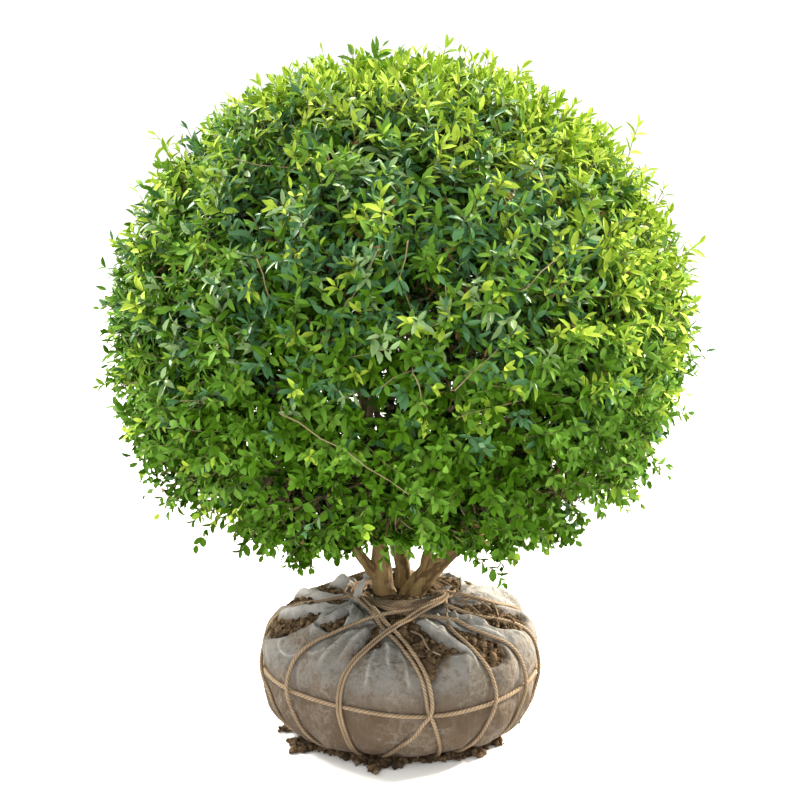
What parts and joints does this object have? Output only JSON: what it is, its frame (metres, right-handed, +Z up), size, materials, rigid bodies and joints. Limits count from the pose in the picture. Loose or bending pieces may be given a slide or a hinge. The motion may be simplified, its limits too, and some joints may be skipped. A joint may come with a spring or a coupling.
{
  "type": "root-balled privet ball",
  "caption": "Clipped ball of small green leaves on several short brown stems, standing on a root ball wrapped in thin cloth and laced with rope",
  "frame": {"origin": "the middle of the root ball's flat underside, on the surface it stands on", "axes": "+Z up along the plant's height, -Y towards the side seen first, +X to the right of that view"},
  "size_m": [0.9898, 0.9889, 1.1606],
  "materials": {
    "foliage": "matt leaf",
    "bark": "rough bark",
    "soil": "dry loam",
    "cloth": "thin non-woven cloth",
    "rope": "twisted jute"
  },
  "bodies": {
    "root": {"crown": "foliage", "limb_left": "bark", "limb_middle": "bark", "rope_belt": "rope", "rope_foot_ring": "rope", "rope_neck_coil": "rope", "rope_pass_back_1": "rope", "rope_pass_back_2": "rope", "rope_pass_back_left": "rope", "rope_pass_back_right": "rope", "rope_pass_front_1": "rope", "rope_pass_front_2": "rope", "rope_pass_front_right": "rope", "rope_pass_left": "rope", "rope_pass_left_back": "rope", "rope_pass_left_front": "rope", "rope_pass_middle": "rope", "rope_pass_middle_over": "rope", "rope_pass_right": "rope", "rope_pass_right_back": "rope", "rope_pass_right_front": "rope", "soil_ball": "soil", "stem_back": "bark", "stem_left": "bark", "stem_right": "bark", "wrap": "cloth"}
  },
  "joints": []
}
